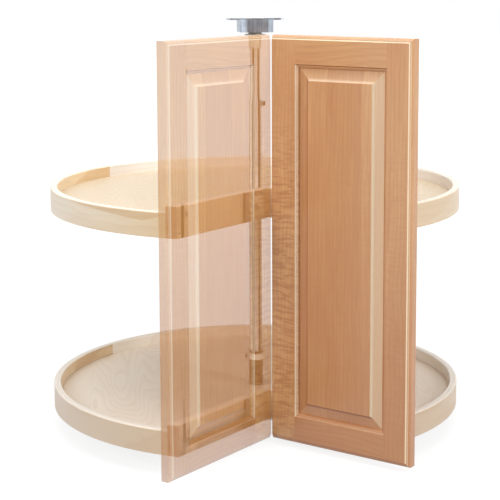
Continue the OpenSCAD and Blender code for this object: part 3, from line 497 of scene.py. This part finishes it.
edge_reach, panel_reach = 0.0026, 0.0074                # depths of the outer moulding and the panel's bevel
members = {
    "inner_stile": dict(run="upright", shift=(-0.034, 0.042, 0.1), curly=0.5, figure=0.34, low=0.0,
                        reach=edge_reach, year=0.0063),
    "outer_stile": dict(run="upright", shift=(0.21, -0.05, 0.9), curly=0.12, figure=0.3, low=0.48,
                        reach=edge_reach),
    "top_rail": dict(run="level", shift=(-0.6, 0.02, 0.4), curly=0.04, figure=0.25, low=0.3,
                     reach=edge_reach),
    "bottom_rail": dict(run="level", shift=(0.1, 0.06, 1.9), curly=0.08, figure=0.35, low=0.5,
                        reach=edge_reach, upward=0.2),
    "panel": dict(run="upright", shift=(0.0, 0.01, 0.55), curly=0.06, figure=0.25, low=0.38,
                  reach=panel_reach, upward=0.5, staved=True)}
for label, side in (("left", -1), ("right", 1)):
    for member, cut in members.items():
        dress(maple(f"maple_{label}_{member}", side, ghost=label == "left", **cut), f"{label}_{member}")

# ---------------------------------------------------------------------------
# Screws and brads.
# Zinc-plated wood screws through the boards into the doors and through the hubs into the floors,
# and dark wire brads that pin the rims' ends.
# ---------------------------------------------------------------------------
screw_zinc = metal("zinc_screws", seen(178, 176, 166), seen(226, 224, 214), 0.3, 1500.0)
dress(screw_zinc, "left_door_screws", "right_door_screws", "lower_hub_screws", "upper_hub_screws")
brad_steel = metal("dark_brads", seen(34, 26, 22), seen(66, 54, 46), 0.5, 1500.0)
dress(brad_steel, "lower_brads", "upper_brads")

# ---------------------------------------------------------------------------
# Hubs.
# Each shelf hangs on a black moulded hub under its floor. The lower one has a ribbed sleeve that
# comes up round the shaft.
# ---------------------------------------------------------------------------
hub_black = moulded("moulded_hub", seen(44, 43, 43), seen(66, 64, 63), 0.42)
dress(hub_black, "lower_hub", "upper_hub")

# ---------------------------------------------------------------------------
# Ferrule and top bearing.
# A grey moulded cap carries the upper pivot. It turns in a nylon bush in a black block, clasped by
# a bent band of zinc-plated steel whose two ears are screwed under the cabinet's top.
# ---------------------------------------------------------------------------
ferrule_grey = moulded("grey_ferrule", seen(226, 222, 214), seen(246, 242, 234), 0.4)
dress(ferrule_grey, "tube_ferrule")
block_black = moulded("black_bearing_block", seen(26, 26, 28), seen(46, 46, 48), 0.36)
dress(block_black, "bearing_block")
bracket_zinc = metal("zinc_bracket", seen(140, 150, 164), seen(212, 220, 230), 0.34, 300.0)
dress(bracket_zinc, "top_bracket")

# ---------------------------------------------------------------------------
# Studio.
# A white paper floor, a white world and three softboxes. The floor keeps the object's soft shadow,
# and both look white to the camera, whatever light falls on them, and in reflections, but the world darker
# towards the front.
# ---------------------------------------------------------------------------
white = (1.0, 1.0, 1.0, 1.0)
half = 14.0
floor_mesh = bpy.data.meshes.new("studio_floor")
corners = [(-half, -half, 0), (half, -half, 0), (half, half, 0), (-half, half, 0)]
floor_mesh.from_pydata(corners, [], [(0, 1, 2, 3)])
floor = bpy.data.objects.new("studio_floor", floor_mesh)
bpy.context.collection.objects.link(floor)


def showing(tree):
    """One on rays from the camera, off gloss and through glass, none on others; and the ray kinds."""
    path = put(tree, "ShaderNodeLightPath").outputs
    mirrored = calc(tree, "MAXIMUM", path["Is Glossy Ray"], path["Is Transmission Ray"])
    return calc(tree, "MAXIMUM", path["Is Camera Ray"], mirrored), path


paper, tree, shader, place = new_finish("white_paper")
shader.inputs["Base Color"].default_value = (0.22, 0.22, 0.22, 1.0)
shader.inputs["Roughness"].default_value = 0.9
shader.inputs["Specular IOR Level"].default_value = 0.0
shader.inputs["Emission Color"].default_value = white
away = put(tree, "ShaderNodeVectorMath", {0: place}, operation="LENGTH").outputs["Value"]
glow = calc(tree, "MULTIPLY", showing(tree)[0], between(tree, away, 0.8, 2.4, 0.84, 1.0))
tree.links.new(glow, shader.inputs["Emission Strength"])
floor_mesh.materials.append(paper)

world = bpy.data.worlds.new("white_studio")
bpy.context.scene.world = world
world.use_nodes = True
tree = world.node_tree
direct, path = showing(tree)
toward = split(tree, put(tree, "ShaderNodeTexCoord").outputs["Generated"])
dark_front = calc(tree, "MULTIPLY", between(tree, toward[1], -0.5, -0.9, 0.0, 0.8), path["Is Glossy Ray"])
back = tree.nodes["Background"]
back.inputs["Color"].default_value = white
tree.links.new(calc(tree, "SUBTRACT", grade(tree, direct, 0.52, 1.0), dark_front), back.inputs["Strength"])


def softbox(name, place, aim, wide, tall, power):
    """Area lamp at place, turned towards aim."""
    lamp = bpy.data.lights.new(name, "AREA")
    lamp.shape = "RECTANGLE"
    lamp.size = wide
    lamp.size_y = tall
    lamp.energy = power
    made = bpy.data.objects.new(name, lamp)
    made.location = place
    made.rotation_euler = (Vector(aim) - Vector(place)).to_track_quat("-Z", "Y").to_euler()
    bpy.context.collection.objects.link(made)


softbox("overhead_bank", (0.0, -0.3, 2.6), (0.0, 0.0, 0.4), 3.2, 2.0, 40.0)
softbox("softbox_right", (2.1, -2.3, 1.5), (-0.1, -0.2, 0.5), 0.9, 1.4, 44.0)
softbox("softbox_left", (-2.3, -1.9, 1.7), (0.1, -0.2, 0.5), 1.2, 1.4, 38.0)

# ---------------------------------------------------------------------------
# Camera.
# It follows from a fit of the photograph's edges. Lengths in pixels are of a 500 x 500 frame.
# ---------------------------------------------------------------------------
frame_px, focal_px = 500.0, 1448.396
centre_px = (289.038, 155.0)                            # where the lens points, from the top left corner
camera_data = bpy.data.cameras.new("camera")
camera = bpy.data.objects.new("camera", camera_data)
bpy.context.collection.objects.link(camera)
camera.location = (-0.38403, -2.48653, 0.78832)
camera.rotation_euler = Euler((math.pi / 2 - 0.1273, 0.0001, -0.1767), "XYZ")
camera_data.sensor_width = 36.0
camera_data.lens = focal_px / frame_px * camera_data.sensor_width
camera_data.shift_x = (frame_px / 2 - centre_px[0]) / frame_px
camera_data.shift_y = (centre_px[1] - frame_px / 2) / frame_px
bpy.context.scene.camera = camera
bpy.context.scene.view_settings.view_transform = "Standard"
